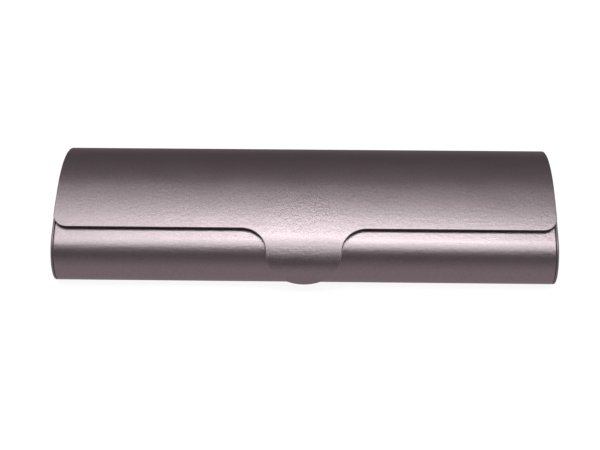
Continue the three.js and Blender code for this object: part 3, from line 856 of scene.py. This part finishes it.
def make_linings():
    edge = TURNED_EDGE + FIT_GAP
    base_stop = BASE_END - FELT_FRONT_GAP
    base_pad = pad_mesh(base_outline, PAD_HALF, PAD_FROM_HINGE, base_stop - edge, BASE_PAD)
    pieces = [add_piece("foam_base", base_pad, "base", foam, ["base_padding"])]
    base_fold = PAD_HALF - FOLD_MARGIN
    base_felt = lining_mesh(
        base_outline, BASE_FELT_HALF, FELT_FROM_HINGE, base_stop, BASE_FELT_OUTER, 0, base_fold
    )
    pieces.append(add_piece("felt_base", base_felt, "base", felt, ["base_lining"]))
    lid_stop = HINGE_ON_LID - FELT_FROM_HINGE
    lid_pad = pad_mesh(
        lid_outline, PAD_HALF - edge, LID_LINING_START + edge, HINGE_ON_LID - PAD_FROM_HINGE, LID_PAD
    )
    pieces.append(add_piece("foam_lid", lid_pad, "lid", foam, ["lid_padding"]))
    lid_felt = lining_mesh(
        lid_outline, PAD_HALF, LID_LINING_START, lid_stop, LID_FELT_OUTER, HINGE_ON_LID, PAD_HALF
    )
    pieces.append(add_piece("felt_lid", lid_felt, "lid", felt, ["lid_lining"]))
    for name, side in (("left", -1), ("right", 1)):
        disc = end_felt_mesh(side)
        pieces.append(add_piece(f"felt_end_{name}", disc, "base", felt, [f"end_lining_{name}"]))


# ---- Magnetic catch ----

STRIKER_ROUND = 0.1


def make_catch():
    ends = sorted(lid_outline.length_at(heading) for heading in (STRIKER_FROM, STRIKER_TO))
    outer = -SHEET - STRIKER_GAP
    loop = rectangle(STRIKER_HALF_LENGTH, *ends, STRIKER_TIP_CORNER, STRIKER_REAR_CORNER)
    plate = bent_plate(lid_outline, loop, outer, outer - STRIKER, STRIKER_ROUND)
    add_piece("striker", plate, "lid", hinge_steel, ["tongue_striker"])
    finishes = {"magnet_holder": holder_plastic, "magnet_left": magnet_plate, "magnet_right": magnet_plate}
    for node, material in finishes.items():
        slots = frame["nodes"][node].material_slots
        for slot in slots:
            slot.material = material


# ---- Studio ----

CAMERA_PLACE = (8.9, -397.1, 225.6)  # millimetres, from under the centre of the nose
CAMERA_HEADING = -1.48  # from +Y towards +X
CAMERA_TILT = 27.44  # below the horizon
CAMERA_ROLL = -0.165
CAMERA_LENS = 84.35


def make_camera():
    camera_data = bpy.data.cameras.new("camera")
    camera_data.lens = CAMERA_LENS
    camera_data.sensor_width = 36
    camera = bpy.data.objects.new("camera", camera_data)
    bpy.context.scene.collection.objects.link(camera)
    heading, tilt = math.radians(CAMERA_HEADING), math.radians(CAMERA_TILT)
    level = math.cos(tilt)
    forward = Vector((math.sin(heading) * level, math.cos(heading) * level, -math.sin(tilt)))
    turn = Matrix.Rotation(-math.radians(CAMERA_ROLL), 4, forward)
    facing = turn @ forward.to_track_quat("-Z", "Y").to_matrix().to_4x4()
    place = (Vector(CAMERA_PLACE) + Vector((0, SHIFT_Y, 0))) * MM
    camera.matrix_world = Matrix.Translation(place) @ facing
    bpy.context.scene.camera = camera


SOFTBOXES = [  # name, place, width, depth, turn from +X towards +Y in degrees, radiance
    ("overhead_softbox", (0.02, -0.3, 0.55), 0.86, 0.47, -22, 1.6),
    ("overhead_strip", (0.06, -0.11, 0.54), 0.31, 0.14, -11, 3.1),
]


def add_softbox(name, place, width, depth, turn, radiance):
    """A rectangular light that faces straight down."""
    data = bpy.data.lights.new(name, "AREA")
    data.shape = "RECTANGLE"
    data.size = width
    data.size_y = depth
    data.energy = radiance * math.pi * width * depth
    light = bpy.data.objects.new(name, data)
    bpy.context.scene.collection.objects.link(light)
    light.matrix_world = Matrix.Translation(place) @ Matrix.Rotation(math.radians(turn), 4, "Z")
    light.visible_camera = False


def make_floor():
    """A plain white floor. It doesn't show in the metal: what the metal reflects is the studio round it."""
    reach = 3
    corners = [(-reach, -reach, 0), (reach, -reach, 0), (reach, reach, 0), (-reach, reach, 0)]
    mesh = bpy.data.meshes.new("floor")
    mesh.from_pydata(corners, [], [(0, 1, 2, 3)])
    material, shader = new_material("floor", (0.3, 0.3, 0.3), 0, 1)
    shader.inputs["Specular IOR Level"].default_value = 0
    shader.inputs["Emission Color"].default_value = (1, 1, 1, 1)
    shader.inputs["Emission Strength"].default_value = 0.9
    mesh.materials.append(material)
    floor = bpy.data.objects.new("floor", mesh)
    bpy.context.scene.collection.objects.link(floor)
    floor.visible_glossy = False
    floor.visible_diffuse = False


ROOM_TINT = (1.08, 0.94, 0.98)
ROOM_LEVELS = (  # height of a direction, -1 straight down and 1 straight up, and how bright the room is
    (-0.6, 0.34),  # the surface under the case
    (0, 0.16),  # the foot of the walls
    (0.25, 0.08),  # the walls
    (1, 0.16),  # the ceiling
)
SIDE_WALLS = (0.5, 0.85)  # the X of a direction where the pale end walls begin, and where they are full
SIDE_COLOR = (0.4, 0.4, 0.4, 1)


def make_world():
    """Dim studio walls and floor, as the metal sees them. The camera sees plain white."""
    world = bpy.data.worlds.new("studio")
    world.use_nodes = True
    nodes, links = world.node_tree.nodes, world.node_tree.links
    nodes.clear()
    place = nodes.new("ShaderNodeTexCoord")
    split = nodes.new("ShaderNodeSeparateXYZ")
    links.new(place.outputs["Generated"], split.inputs[0])
    height = nodes.new("ShaderNodeMapRange")
    height.inputs["From Min"].default_value = -1
    links.new(split.outputs["Z"], height.inputs["Value"])
    ramp = nodes.new("ShaderNodeValToRGB")
    elements = ramp.color_ramp.elements
    while len(elements) < len(ROOM_LEVELS):
        elements.new(0.5)
    for element, (level, brightness) in zip(elements, ROOM_LEVELS):
        element.position = (level + 1) / 2
        element.color = (*shade(ROOM_TINT, brightness), 1)
    links.new(height.outputs["Result"], ramp.inputs["Fac"])
    sideways = nodes.new("ShaderNodeMath")
    sideways.operation = "ABSOLUTE"
    links.new(split.outputs["X"], sideways.inputs[0])
    wall = nodes.new("ShaderNodeMapRange")
    wall.interpolation_type = "SMOOTHSTEP"
    wall.inputs["From Min"].default_value, wall.inputs["From Max"].default_value = SIDE_WALLS
    links.new(sideways.outputs["Value"], wall.inputs["Value"])
    walled = nodes.new("ShaderNodeMix")
    walled.data_type = "RGBA"
    walled.inputs["B"].default_value = SIDE_COLOR
    links.new(wall.outputs["Result"], walled.inputs["Factor"])
    links.new(ramp.outputs["Color"], walled.inputs["A"])
    dim = nodes.new("ShaderNodeBackground")
    links.new(walled.outputs["Result"], dim.inputs["Color"])
    white = nodes.new("ShaderNodeBackground")
    white.inputs["Color"].default_value = (1, 1, 1, 1)
    rays = nodes.new("ShaderNodeLightPath")
    choose = nodes.new("ShaderNodeMixShader")
    links.new(rays.outputs["Is Camera Ray"], choose.inputs["Fac"])
    links.new(dim.outputs["Background"], choose.inputs[1])
    links.new(white.outputs["Background"], choose.inputs[2])
    output = nodes.new("ShaderNodeOutputWorld")
    links.new(choose.outputs["Shader"], output.inputs["Surface"])
    bpy.context.scene.world = world


def make_studio():
    make_camera()
    make_floor()
    make_world()
    for softbox in SOFTBOXES:
        add_softbox(*softbox)
    bpy.context.scene.view_settings.view_transform = "Standard"


make_studio()
make_sheets()
make_caps()
make_hinge()
make_linings()
make_catch()
